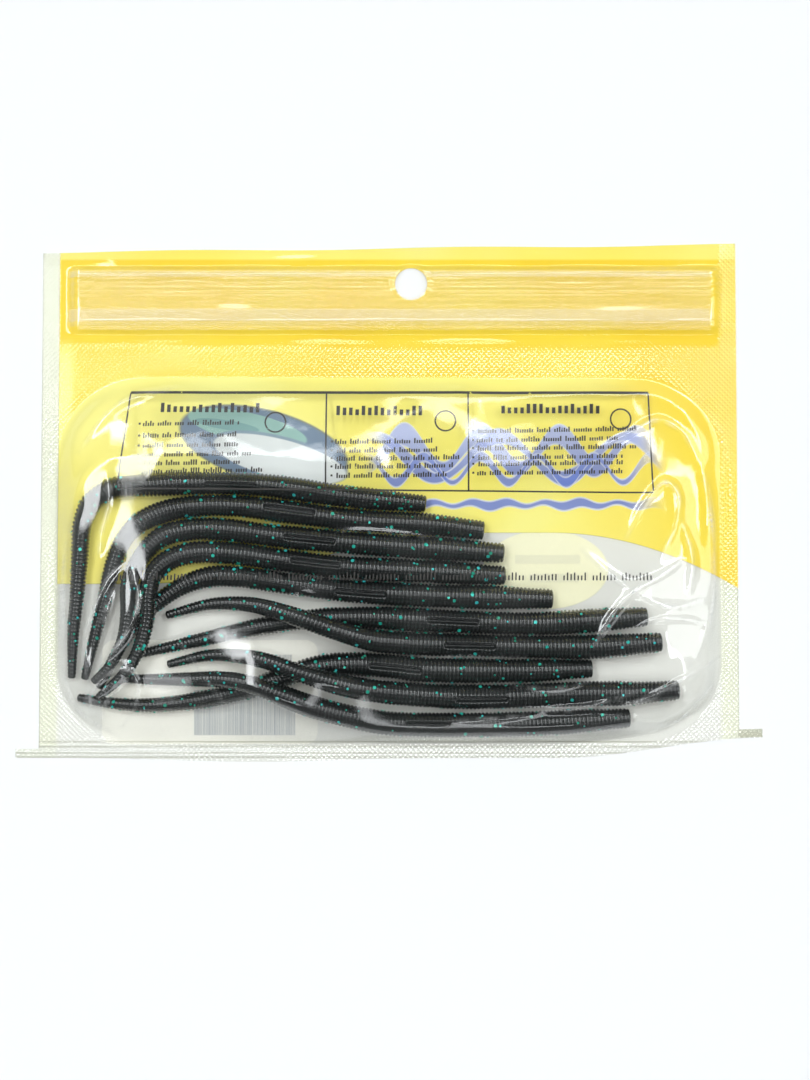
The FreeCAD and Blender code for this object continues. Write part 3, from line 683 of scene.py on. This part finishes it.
def make_worm(name, worm, material, rng):
    """A ribbed worm with a blunt head, a slot in its back and a thin tail."""
    marks, phases = worm_marks(worm.length)
    centre, radius, up, side = worm.at(marks)
    radius = radius * (0.55 + 0.45 * rounded_end(marks, 1.1))
    radius = radius * (0.35 + 0.65 * rounded_end(worm.length - marks, 0.8))
    turn = rng.uniform(-0.35, 0.35)
    even = np.linspace(-math.pi, math.pi, AROUND, endpoint=False)
    angle = turn + even - 0.55 * np.sin(even)  # closer together at the slot
    crest = np.sin(np.pi * phases) ** 0.7
    depth = RIB_DEPTH * np.interp(marks * worm.scale, [0, 4, 90, 127], [0.8, 1.0, 0.9, 0.45])
    offset = ((crest - 1.0) * depth)[:, None]
    away = (angle[None, :] - turn + math.pi) % (2 * math.pi) - math.pi
    lateral = np.abs(away) * radius[:, None]
    lengthwise = np.abs(marks * worm.scale - SLOT_CENTRE)[:, None]
    reach = np.hypot(np.maximum(lengthwise - SLOT_HALF + SLOT_WIDE, 0.0), lateral)
    inside = 1.0 - smooth_step(reach, SLOT_WIDE * 0.35, SLOT_WIDE * 1.2)
    rim = 0.12 * np.exp(-(((reach - SLOT_WIDE * 1.45) / 0.2) ** 2)) * (lengthwise < SLOT_HALF)
    offset = offset * (1 - inside) + rim - SLOT_DEPTH * inside
    lumps = 1 + 0.012 * np.sin(marks * 0.37 + rng.uniform(0, 6)) + 0.008 * np.sin(marks * 0.91)
    size = radius[:, None] * lumps[:, None] + offset
    ring = size[:, :, None] * (
        np.cos(angle)[None, :, None] * up[:, None, :] + np.sin(angle)[None, :, None] * side[:, None, :]
    )
    points = (centre[:, None, :] + ring).reshape(-1, 3)
    head, tail, last = len(points), len(points) + 1, len(points) - AROUND
    points = np.vstack([points, centre[:1], centre[-1:]])
    faces = band_faces(len(marks), AROUND)
    faces += [(head, (k + 1) % AROUND, k) for k in range(AROUND)]
    faces += [(tail, last + k, last + (k + 1) % AROUND) for k in range(AROUND)]
    body = make_object(f"{name}_body", points, faces, material)
    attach(body, name)
    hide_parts(name)


def make_flakes(name, worm, material, rng):
    """Thin hexagonal glitter scattered in the worm's skin."""
    hexagon = [tuple(range(6, 12)), tuple(range(6))[::-1], *band_faces(2, 6)]
    along = rng.uniform(1.5, worm.length - 2.0, FLAKES)
    angle = rng.uniform(-math.pi, math.pi, FLAKES)
    near_slot = (np.abs(along * worm.scale - SLOT_CENTRE) < SLOT_HALF + 1) & (np.abs(angle) < 0.8)
    along, angle = along[~near_slot], angle[~near_slot]
    centre, radius, up, side = worm.at(along)
    points, faces = [], []
    for c, r, u, s, a in zip(centre, radius, up, side, angle):
        out = math.cos(a) * u + math.sin(a) * s
        flat = -math.sin(a) * u + math.cos(a) * s
        run = np.cross(out, flat)
        lean = out + 0.18 * rng.normal() * flat + 0.18 * rng.normal() * run
        lean /= np.linalg.norm(lean)
        flat = flat - lean * flat.dot(lean)
        flat /= np.linalg.norm(flat)
        run = np.cross(lean, flat)
        half = rng.choice(FLAKE_SIZES, p=FLAKE_SHARES)
        spin = rng.uniform(0, math.pi)
        faces += [tuple(len(points) + k for k in face) for face in hexagon]
        middle = c + out * (r + 0.01 - 0.16 * max(0.0, -math.cos(a)))  # deeper underneath, off the back film
        for height in (FLAKE_UNDER, FLAKE_OVER):
            for k in range(6):
                t = spin + k * math.pi / 3
                points.append(middle + lean * height + half * (math.cos(t) * flat + math.sin(t) * run))
    flakes = make_object(f"{name}_glitter", points, faces, material, smooth=False)
    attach(flakes, name)


# ---- the front film's shape ----


class Drape:
    """The front film over the worms: a stretched sheet that rests on them wherever they may slide to."""

    def __init__(self, worms, cell=0.5):
        left, right, bottom, top = POCKET
        self.xs = np.arange(left - 1, right + 1 + cell, cell)
        self.ys = np.arange(bottom - 1, top + 1 + cell, cell)
        self.cell = cell
        gx, gy = np.meshgrid(self.xs, self.ys)
        self.inside = self.depth_inside(gx, gy) > 0
        # the painted highlight along the folds, which wrinkles fills in
        self.stress = np.zeros_like(gx)
        z = self.stretch(self.obstacles(worms)) + self.wrinkles(gx, gy)
        self.z = np.where(self.inside, z, SKIN)

    @staticmethod
    def depth_inside(x, y):
        """How far inside the pocket's rounded outline a point is."""
        left, right, bottom, top = POCKET
        across = np.abs(x - (left + right) / 2) - ((right - left) / 2 - POCKET_CORNER)
        up = np.abs(y - (bottom + top) / 2) - ((top - bottom) / 2 - POCKET_CORNER)
        outer = np.hypot(np.maximum(across, 0), np.maximum(up, 0)) + np.minimum(np.maximum(across, up), 0)
        return POCKET_CORNER - outer

    def obstacles(self, worms):
        """The least height that clears the worms wherever they slide to."""
        field = np.full((len(self.ys), len(self.xs)), SKIN)
        for worm in worms.values():
            marks = np.arange(0, worm.length, 0.5)
            centre, radius, _, _ = worm.at(marks)
            for (cx, cy, cz), r in zip(centre, radius + 0.25):
                i0 = np.searchsorted(self.xs, cx - r)
                i1 = np.searchsorted(self.xs, cx + r)
                for shift in np.arange(0, PLAY + 0.01, 1.0):
                    j0 = np.searchsorted(self.ys, cy + shift - r)
                    j1 = np.searchsorted(self.ys, cy + shift + r)
                    gx, gy = np.meshgrid(self.xs[i0:i1], self.ys[j0:j1])
                    rise = r * r - (gx - cx) ** 2 - (gy - cy - shift) ** 2
                    top = np.where(rise > 0, cz + np.sqrt(np.maximum(rise, 0)), 0)
                    field[j0:j1, i0:i1] = np.maximum(field[j0:j1, i0:i1], top)
        return field

    def stretch(self, hard, rounds=(300, 300, 500), pressure=0.0035):
        """Relaxes the sheet from a coarse grid to the full one; it never goes under the worms."""
        guess = None
        for step, count in zip((4, 2, 1), rounds):
            rows, cols = hard.shape
            high = hard[: rows // step * step, : cols // step * step]
            high = high.reshape(rows // step, step, cols // step, step).max(axis=(1, 3))
            free = self.inside[: rows // step * step : step, : cols // step * step : step]
            if guess is None:
                z = high.copy()
            else:
                z = np.repeat(np.repeat(guess, 2, axis=0), 2, axis=1)
                short = [(0, max(want - have, 0)) for want, have in zip(high.shape, z.shape)]
                z = np.pad(z, short, mode="edge")[: high.shape[0], : high.shape[1]]
            lift = pressure * (self.cell * step) ** 2 / 4
            for _ in range(count):
                mean = 0.25 * (np.roll(z, 1, 0) + np.roll(z, -1, 0) + np.roll(z, 1, 1) + np.roll(z, -1, 1))
                z = np.where(free, np.maximum(mean + lift, high), SKIN)
            guess = z
        out = np.full(hard.shape, SKIN)
        out[: guess.shape[0], : guess.shape[1]] = guess
        return out

    def wrinkles(self, x, y):
        """Crumples everywhere and the sharp folds, both fading out at the seal; each fold also gets a painted
        white highlight along its line.
        """
        rng = np.random.default_rng(SEED)
        z = np.zeros_like(x)
        for _ in range(9):
            turn = rng.uniform(0, math.pi)
            length = rng.uniform(16, 44)
            across = x * math.cos(turn) + y * math.sin(turn)
            along = y * math.cos(turn) - x * math.sin(turn)
            bend = 2.5 * np.abs((along / rng.uniform(25, 50) + rng.uniform(0, 1)) % 1.0 - 0.5) * 4
            wave = np.abs(((across + bend) / length + rng.uniform(0, 1)) % 1.0 - 0.5) * 2
            z += wave * 0.011 * length
        z *= 0.3 + 0.7 * np.maximum(smooth_step(y, 0.0, 9.0), smooth_step(x, 50.0, 68.0))
        for line, height, wide in CREASES:
            curve, _ = catmull_rom(line, 16)
            gap = np.full(x.shape, 1e9)
            place = np.zeros(x.shape)
            for k, (cx, cy) in enumerate(curve):
                d = np.hypot(x - cx, y - cy)
                place = np.where(d < gap, k / (len(curve) - 1), place)
                gap = np.minimum(gap, d)
            ends = np.sin(np.pi * np.clip(place, 0.02, 0.98)) ** 0.6
            z += height * ends * np.exp(-gap / wide)
            broken = 0.55 + 0.45 * np.sin(place * 23.0 + x * 0.4) * np.sin(place * 9.0 + y * 0.3)
            # painted highlight: a broken white line along the fold, in place of the glint of light on it
            white = ends * broken * np.exp(-((gap / (0.45 * wide)) ** 2)) * min(height, 1.0)
            self.stress = np.maximum(self.stress, white)
        return z * smooth_step(self.depth_inside(x, y), 0.0, 5.0)

    def sample(self, field, x, y):
        """A grid's values at any points, by blending the four nearest ones."""
        fx = np.clip((x - self.xs[0]) / self.cell, 0, len(self.xs) - 1.001)
        fy = np.clip((y - self.ys[0]) / self.cell, 0, len(self.ys) - 1.001)
        i, j = fx.astype(int), fy.astype(int)
        u, v = fx - i, fy - j
        low = field[j, i] * (1 - u) + field[j, i + 1] * u
        high = field[j + 1, i] * (1 - u) + field[j + 1, i + 1] * u
        return low * (1 - v) + high * v


def lip_height(x, y):
    """The film above the mouth line, stepping up over the zip and rippled along its three ribs."""
    over = smooth_step(y, MOUTH + 0.6, MOUTH + 3.2) * (1 - smooth_step(y, TAPE_TOP + 0.1, TAPE_TOP + 1.7))
    ends = smooth_step(x, TAPE_LEFT - 2.6, TAPE_LEFT) * (1 - smooth_step(x, TAPE_RIGHT, TAPE_RIGHT + 3.5))
    rise = (TAPE_HIGH + FILM * 0.5 - SKIN) * over * ends
    ribs = sum(np.exp(-(((y - rib) / 0.42) ** 2)) for rib in TAPE_RIBS)
    lower = np.exp(-(((y - 44.6) / 0.4) ** 2)) + 0.7 * np.exp(-(((y - 43.3) / 0.3) ** 2))
    ripple = 0.14 * np.sin(x / 9.0 + 1.0) * np.sin(y / 3.1) + 0.08 * np.sin(x / 4.3 + y / 2.0)
    for cx, cy, wide, tall, high in LIP_DENTS:
        ripple = ripple + high * np.exp(-(((x - cx) / wide) ** 2) - ((y - cy) / tall) ** 2)
    rim = 0.3 * np.exp(-(((np.hypot(x - HOLE_X, y - HOLE_Y) - HOLE_R - 0.5) / 0.45) ** 2))
    edge = 0.35 * smooth_step(y, TOP - 4.0, TOP) * (1 + np.sin(x / 13.0 + 0.7))
    waves = (ripple * ends + edge) * (np.abs(x) < SIDE)
    return SKIN + rise + (0.26 * ribs + 0.2 * lower) * ends + rim + waves


def lie(x, y):
    """How far the films lie off their straight cut: the bottom right corner swings up, the top edge leans."""
    corner = 5.0 * smooth_step(x, 42.0, 92.0) * (1 - smooth_step(y, BOTTOM + 1.0, BOTTOM + 16.0))
    sag = -1.0 * np.exp(-(((x + 33.0) / 26.0) ** 2)) * (1 - smooth_step(y, BOTTOM, BOTTOM + 8.0))
    top = (0.2 + 1.0 * x / SIDE + 0.22 * np.sin(x / 11.0)) * smooth_step(y, TOP - 5.0, TOP)
    return corner + sag + top


def grid_sheet(name, xs, ys, height, material, keep=None):
    """A single sheet over a grid of lines, with the hang hole cut to a true circle."""
    gx, gy = np.meshgrid(xs, ys)
    reach = np.hypot(gx - HOLE_X, gy - HOLE_Y)
    near = np.abs(reach - HOLE_R) < 0.2
    scale = np.where(near, HOLE_R / np.maximum(reach, 1e-6), 1.0)
    gx = HOLE_X + (gx - HOLE_X) * scale
    gy = HOLE_Y + (gy - HOLE_Y) * scale
    flat = np.stack([gx, gy], axis=-1).reshape(-1, 2)
    points = np.stack([gx, gy + lie(gx, gy), height(gx, gy)], axis=-1).reshape(-1, 3)
    rows, cols = gx.shape
    low = np.arange(rows - 1)[:, None] * cols + np.arange(cols - 1)[None, :]
    faces = np.stack([low, low + 1, low + cols + 1, low + cols], axis=-1).reshape(-1, 4)
    middle = flat[faces].mean(axis=1)
    wanted = np.hypot(middle[:, 0] - HOLE_X, middle[:, 1] - HOLE_Y) > HOLE_R
    if keep:
        wanted &= keep(middle[:, 0], middle[:, 1])
    faces = faces[wanted]
    used, again = np.unique(faces, return_inverse=True)
    return make_object(name, points[used], again.reshape(-1, 4).tolist(), material)


def grid_lines(*spans):
    """The places of lines about a step apart, over spans of lowest, highest and step."""
    lines = [np.linspace(low, high, max(int(round((high - low) / step)), 1) + 1) for low, high, step in spans]
    return np.unique(np.concatenate(lines))


def make_front_skin(drape, material):
    """The front film from the bottom seal up to the mouth line."""
    xs = grid_lines((EAR_LEFT, -SIDE, 1.4), (-SIDE, SIDE, 0.55), (SIDE, EAR_RIGHT, 1.4))
    ys = grid_lines((BOTTOM, EAR_TOP, 0.55), (EAR_TOP, MOUTH, 0.55))

    def height(x, y):
        hem = sum(rise * np.exp(-(((y - line) / wide) ** 2)) for line, wide, rise in HEM_LINES)
        outside = -drape.depth_inside(x, y)
        wave = 0.10 * (1 + np.sin(x / 6.1 + y / 9.0)) + 0.08 * (1 + np.sin(y / 4.7 - x / 17.0))
        wave *= (1 - smooth_step(y, MOUTH - 1.5, MOUTH)) * smooth_step(outside, 0, 2)
        return np.where(outside > 0, SKIN + wave, drape.sample(drape.z, x, y)) + hem

    skin = grid_sheet("front_film_skin", xs, ys, height, material, inside_outline)
    spots = np.array([v.co for v in skin.data.vertices]) / MM
    # the painted highlight along the folds, kept on the skin's points for its material
    glint_share = drape.sample(drape.stress, spots[:, 0], spots[:, 1])
    skin.data.attributes.new("stress", "FLOAT", "POINT").data.foreach_set("value", glint_share)
    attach(skin, "pouch")
    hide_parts("front_film")


def back_height(x, y):
    """The back film, nearly flat, over the labels on its underside."""
    return FILM - 0.03 + 0.02 * np.sin(x / 8.0 + 1.0) * np.sin(y / 6.0)


def inside_outline(x, y):
    """The pouch's outline: straight sides, and the two ears of the bottom seal."""
    return (np.abs(x) < SIDE) | (y < EAR_TOP)


def make_back_sheet(material):
    """The back film as one thin sheet from the bottom seal to the top edge."""
    left, right = HOLE_X - HOLE_MARGIN, HOLE_X + HOLE_MARGIN
    low, high = HOLE_Y - HOLE_MARGIN, HOLE_Y + HOLE_MARGIN
    xs = grid_lines((EAR_LEFT, -SIDE, 1.4), (-SIDE, left, 2.0), (left, right, 0.3), (right, SIDE, 2.0),
                    (SIDE, EAR_RIGHT, 1.4))
    ys = grid_lines((BOTTOM, EAR_TOP, 1.1), (EAR_TOP, low, 2.0), (low, high, 0.3), (high, TOP, 1.2))
    sheet = grid_sheet("back_film_sheet", xs, ys, back_height, material, inside_outline)
    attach(sheet, "pouch")
    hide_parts("back_film")


def lip_columns():
    """Where the lip's film is divided: two sides and a middle that turns with the lip."""
    left, right = HOLE_X - HOLE_MARGIN, HOLE_X + HOLE_MARGIN
    return {
        "left": grid_lines((-SIDE, -BEND_FROM, 0.7)),
        "middle": grid_lines((-BEND_FROM, left, 0.7), (left, right, 0.3), (right, BEND_FROM, 0.7)),
        "right": grid_lines((BEND_FROM, SIDE, 0.7)),
    }


def follow_lip(piece, part):
    """The middle turns with the lip; each side is baked where it lies and is not attached to the lip."""
    if part == "middle":
        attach(piece, "lip")
        return
    seal, bend = (LIP_LEFT, -BEND_FROM) if part == "left" else (LIP_RIGHT, BEND_FROM)
    _, y, z = HINGE["pos_m"]
    seal * MM
    bend * MM
    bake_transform(piece)


def make_lip_skin(material):
    """The front film above the mouth line, in three lengths side by side."""
    ys = grid_lines((MOUTH - 0.1, 46.0, 0.35), (46.0, 50.0, 0.5), (50.0, 58.6, 0.28), (58.6, TOP, 0.5))
    for part, xs in lip_columns().items():
        skin = grid_sheet(f"lip_film_{part}", xs, ys, lip_height, material)
        follow_lip(skin, part)
        if part == "middle":
            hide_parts("front_lip")


TAPE_BASE, RIB_TIP = 1.45, 0.72  # heights of the ridge tape's underside and of its ribs' tips
RIB_FOOT, RIB_TOE = 0.5, 0.35  # half widths of a rib at the tape and at its tip


def tape_profile():
    """The ridge tape's outline across the zip."""
    profile = [(TAPE_BOTTOM, TAPE_BASE)]
    for rib in TAPE_RIBS:
        profile += [(rib - RIB_FOOT, TAPE_BASE), (rib - RIB_TOE, RIB_TIP)]
        profile += [(rib + RIB_TOE, RIB_TIP), (rib + RIB_FOOT, TAPE_BASE)]
    return profile + [(TAPE_TOP, TAPE_BASE), (TAPE_TOP, TAPE_HIGH), (TAPE_BOTTOM, TAPE_HIGH)]


def cut_hang_hole(piece):
    """Cuts the hang hole's round bore through a closed piece."""
    around = 48
    rim = [
        (HOLE_X + HOLE_R * math.cos(t), HOLE_Y + HOLE_R * math.sin(t))
        for t in np.linspace(0, 2 * math.pi, around, endpoint=False)
    ]
    points = [(x, y, z) for z in (-1.0, 5.0) for x, y in rim]
    faces = [list(range(around))[::-1], list(range(around, 2 * around))]
    faces += band_faces(2, around)
    cutter = make_object("cutter", points, faces, piece.data.materials[0], smooth=False)
    cut = piece.modifiers.new("hole", "BOOLEAN")
    cut.operation = "DIFFERENCE"
    cut.solver = "EXACT"
    cut.object = cutter
    graph = bpy.context.evaluated_depsgraph_get()
    mesh = bpy.data.meshes.new_from_object(piece.evaluated_get(graph))
    piece.modifiers.clear()
    piece.data = mesh
    bpy.data.objects.remove(cutter)


def make_tape(material):
    """The zip's ridge tape, in the same three lengths as the lip's film."""
    spans = {
        "left": grid_lines((TAPE_LEFT, -BEND_FROM, 3.0)),
        "middle": (-BEND_FROM, BEND_FROM),
        "right": grid_lines((BEND_FROM, TAPE_RIGHT, 3.0)),
    }
    profile = tape_profile()
    size = len(profile)
    for part, xs in spans.items():
        points = [(x, y, z) for x in xs for y, z in profile]
        faces = [tuple(range(size))[::-1], tuple(range(len(points) - size, len(points)))]
        faces += band_faces(len(xs), size)
        tape = make_object(f"zip_ridges_{part}", points, faces, material, smooth=False)
        if part == "middle":
            cut_hang_hole(tape)
            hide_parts("zip_ridge_tape")
        follow_lip(tape, part)


def tick_row(rng, start, end, y, tick, word, slope):
    """Short upright ticks in groups, in place of a line of writing: tick is its pitch, width and height."""
    pitch, wide, high = tick
    strokes, x = [], start
    while x < end:
        stop = min(x + rng.uniform(*word), end)
        while x < stop:
            tall = high * rng.choice([0.62, 0.62, 0.8, 1.0])
            low = y - high / 2 + slope * (x - start)
            strokes.append(((x, low), (x + 0.04, low + tall), wide))
            x += pitch
        x += pitch * 1.3
    return strokes


def make_front_print(drape, material, rng):
    """The black print on the inside of the front film: a box of three panels of plain rows of ticks."""
    left, right, low, high = PRINT_BOX
    lean_left, lean_right = BOX_LEAN
    strokes = [((left, high), (right, high), 0.7)]
    strokes.append(((left + lean_left, low + 0.4), (right + lean_right, low - 0.4), LINE_WIDTH))
    for x, lean in zip((left, *PRINT_DIVIDERS, right), (lean_left, 0, 0, lean_right)):
        strokes.append(((x + lean, low), (x, high), LINE_WIDTH))
    for start, end, y in PRINT_HEADINGS:
        strokes += tick_row(rng, start, end, y, HEADING_TICK, (end - start, end - start), 0.0)
    for start, end, rows in PRINT_ROWS:
        for y in rows:
            stop = end - rng.uniform(0, 7)
            strokes.append(((start - 1.2, y), (start - 0.7, y), 0.5))
            strokes += tick_row(rng, start + rng.uniform(0, 0.5), stop, y, ROW_TICK, (1.6, 5.2), 0.02)
    start, end, y = PRINT_LINE
    strokes += tick_row(rng, start, end, y, LINE_TICK, (4.0, 9.0), 0.0)
    for cx, cy in PRINT_RINGS:
        turns = np.linspace(0, 2 * math.pi, 25)
        ring = [(cx + RING_RADIUS * math.cos(t), cy + RING_RADIUS * math.sin(t)) for t in turns]
        strokes += [(a, b, LINE_WIDTH) for a, b in zip(ring, ring[1:])]
    points, faces = [], []
    for (x0, y0), (x1, y1), wide in strokes:
        span = math.dist((x0, y0), (x1, y1))
        count = max(int(span / 0.55), 1)
        nx, ny = -(y1 - y0) / span * wide / 2, (x1 - x0) / span * wide / 2
        first = len(points)
        for t in np.linspace(0, 1, count + 1):
            x, y = x0 + (x1 - x0) * t, y0 + (y1 - y0) * t
            points += [(x - nx, y - ny), (x + nx, y + ny)]
        faces += [(k, k + 2, k + 3, k + 1) for k in range(first, first + 2 * count, 2)]
    flat = np.array(points)
    heights = drape.sample(drape.z, flat[:, 0], flat[:, 1]) - PRINT_UNDER
    ink = make_object("front_print", np.column_stack([flat, heights]), faces, material)
    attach(ink, "pouch")


def dress(node, material):
    """Gives a kept CAD node its material."""
    obj = frame["nodes"][node]
    for place in obj.material_slots:
        place.material = material


# ---- light, floor and camera ----


def make_stage():
    n = material_nodes("floor")
    coordinates, _, _ = n.place()
    tone = n.noise(coordinates, 3.0, 2.0)
    colour = n.mix(tone, (0.79, 0.80, 0.81), (0.81, 0.82, 0.83))
    material = n.finish(n.shader("Principled", Base_Color=colour, Roughness=0.6))
    corners = [(x, y, -FLOOR_GAP) for x, y in ((-1, -1), (1, -1), (1, 1), (-1, 1))]
    corners = np.array(corners) * (FLOOR_HALF, FLOOR_HALF, 1.0)
    floor = make_object("floor", corners, [(0, 1, 2, 3)], material, smooth=False)


def make_light():
    """A pale room, darker overhead and towards -Y, with soft bright panels in its ceiling, and a softbox."""
    world = bpy.data.worlds.new("studio")
    bpy.context.scene.world = world
    n = Nodes(world)
    split = n.add("ShaderNodeSeparateXYZ", Vector=n.add("ShaderNodeTexCoord").outputs["Generated"])
    x, y, z = (Value(n, socket) for socket in split.outputs)
    room = n.step(z, 0.75, 0.97, 0.36, 0.03) * n.step(y, -0.5, 0.35, 0.3, 1.2)
    above = highest(z, 0.05)
    for across, up, half_across, half_up, strength in CEILING:
        wide = n.step(abs(x / above - across), half_across, half_across + PANEL_EDGE, 1.0, 0.0)
        high = n.step(abs(y / above - up), half_up, half_up + PANEL_EDGE, 1.0, 0.0)
        room = room + wide * high * strength
    # level with the floor and below it the room is evenly pale
    room = highest(room, n.step(z, 0.10, 0.30, 0.9, 0.0))
    background = n.add("ShaderNodeBackground", Color=(0.955, 0.985, 1.0), Strength=room)
    n.finish(background.outputs[0])

    data = bpy.data.lights.new("softbox", "AREA")
    data.shape = "RECTANGLE"
    data.size, data.size_y = 1.4, 1.2
    data.energy = 7.1
    light = bpy.data.objects.new("softbox", data)
    light.location = (-0.05, -0.15, 1.3)
    light.rotation_euler = (-light.location).to_track_quat("-Z", "Y").to_euler()
    light.visible_glossy = False
    bpy.context.scene.collection.objects.link(light)


def make_camera():
    """Nearly straight down, a little from the pouch's bottom side."""
    target = Vector((0.0039, -0.0094, 0.0))
    distance, tilt = 0.50, math.radians(3.0)
    frame_height = 0.266
    data = bpy.data.cameras.new("camera")
    data.sensor_fit = "VERTICAL"
    data.angle = 2 * math.atan(frame_height / 2 / distance)
    camera = bpy.data.objects.new("camera", data)
    camera.location = target + Vector((0, -math.sin(tilt), math.cos(tilt))) * distance
    camera.rotation_euler = (tilt, 0, 0)
    bpy.context.scene.collection.objects.link(camera)
    bpy.context.scene.camera = camera
    bpy.context.scene.view_settings.view_transform = "Standard"
    bpy.context.scene.cycles.transparent_max_bounces = 20


# ---- the whole ----

make_camera()
make_stage()
make_light()
rng = np.random.default_rng(SEED)
worm_plastic = worm_material()
glitter = flake_material()
worms = {name: Worm(name) for name in ROUTES}
fill_out(worms)
for name, worm in worms.items():
    make_worm(name, worm, worm_plastic, rng)
    make_flakes(name, worm, glitter, rng)
drape = Drape(worms)
clear_film = clear_film_material()
zip_plastic = zip_material()
make_front_skin(drape, clear_film)
make_lip_skin(clear_film)
make_tape(zip_plastic)
make_front_print(drape, front_print_material(), rng)
make_back_sheet(back_film_material())
dress("zip_groove_tape", zip_plastic)
dress("size_label", paper_material("size_label", (0.96, 0.95, 0.72), size_marks))
dress("barcode_label", paper_material("barcode_label", (0.95, 0.95, 0.93), barcode_marks))
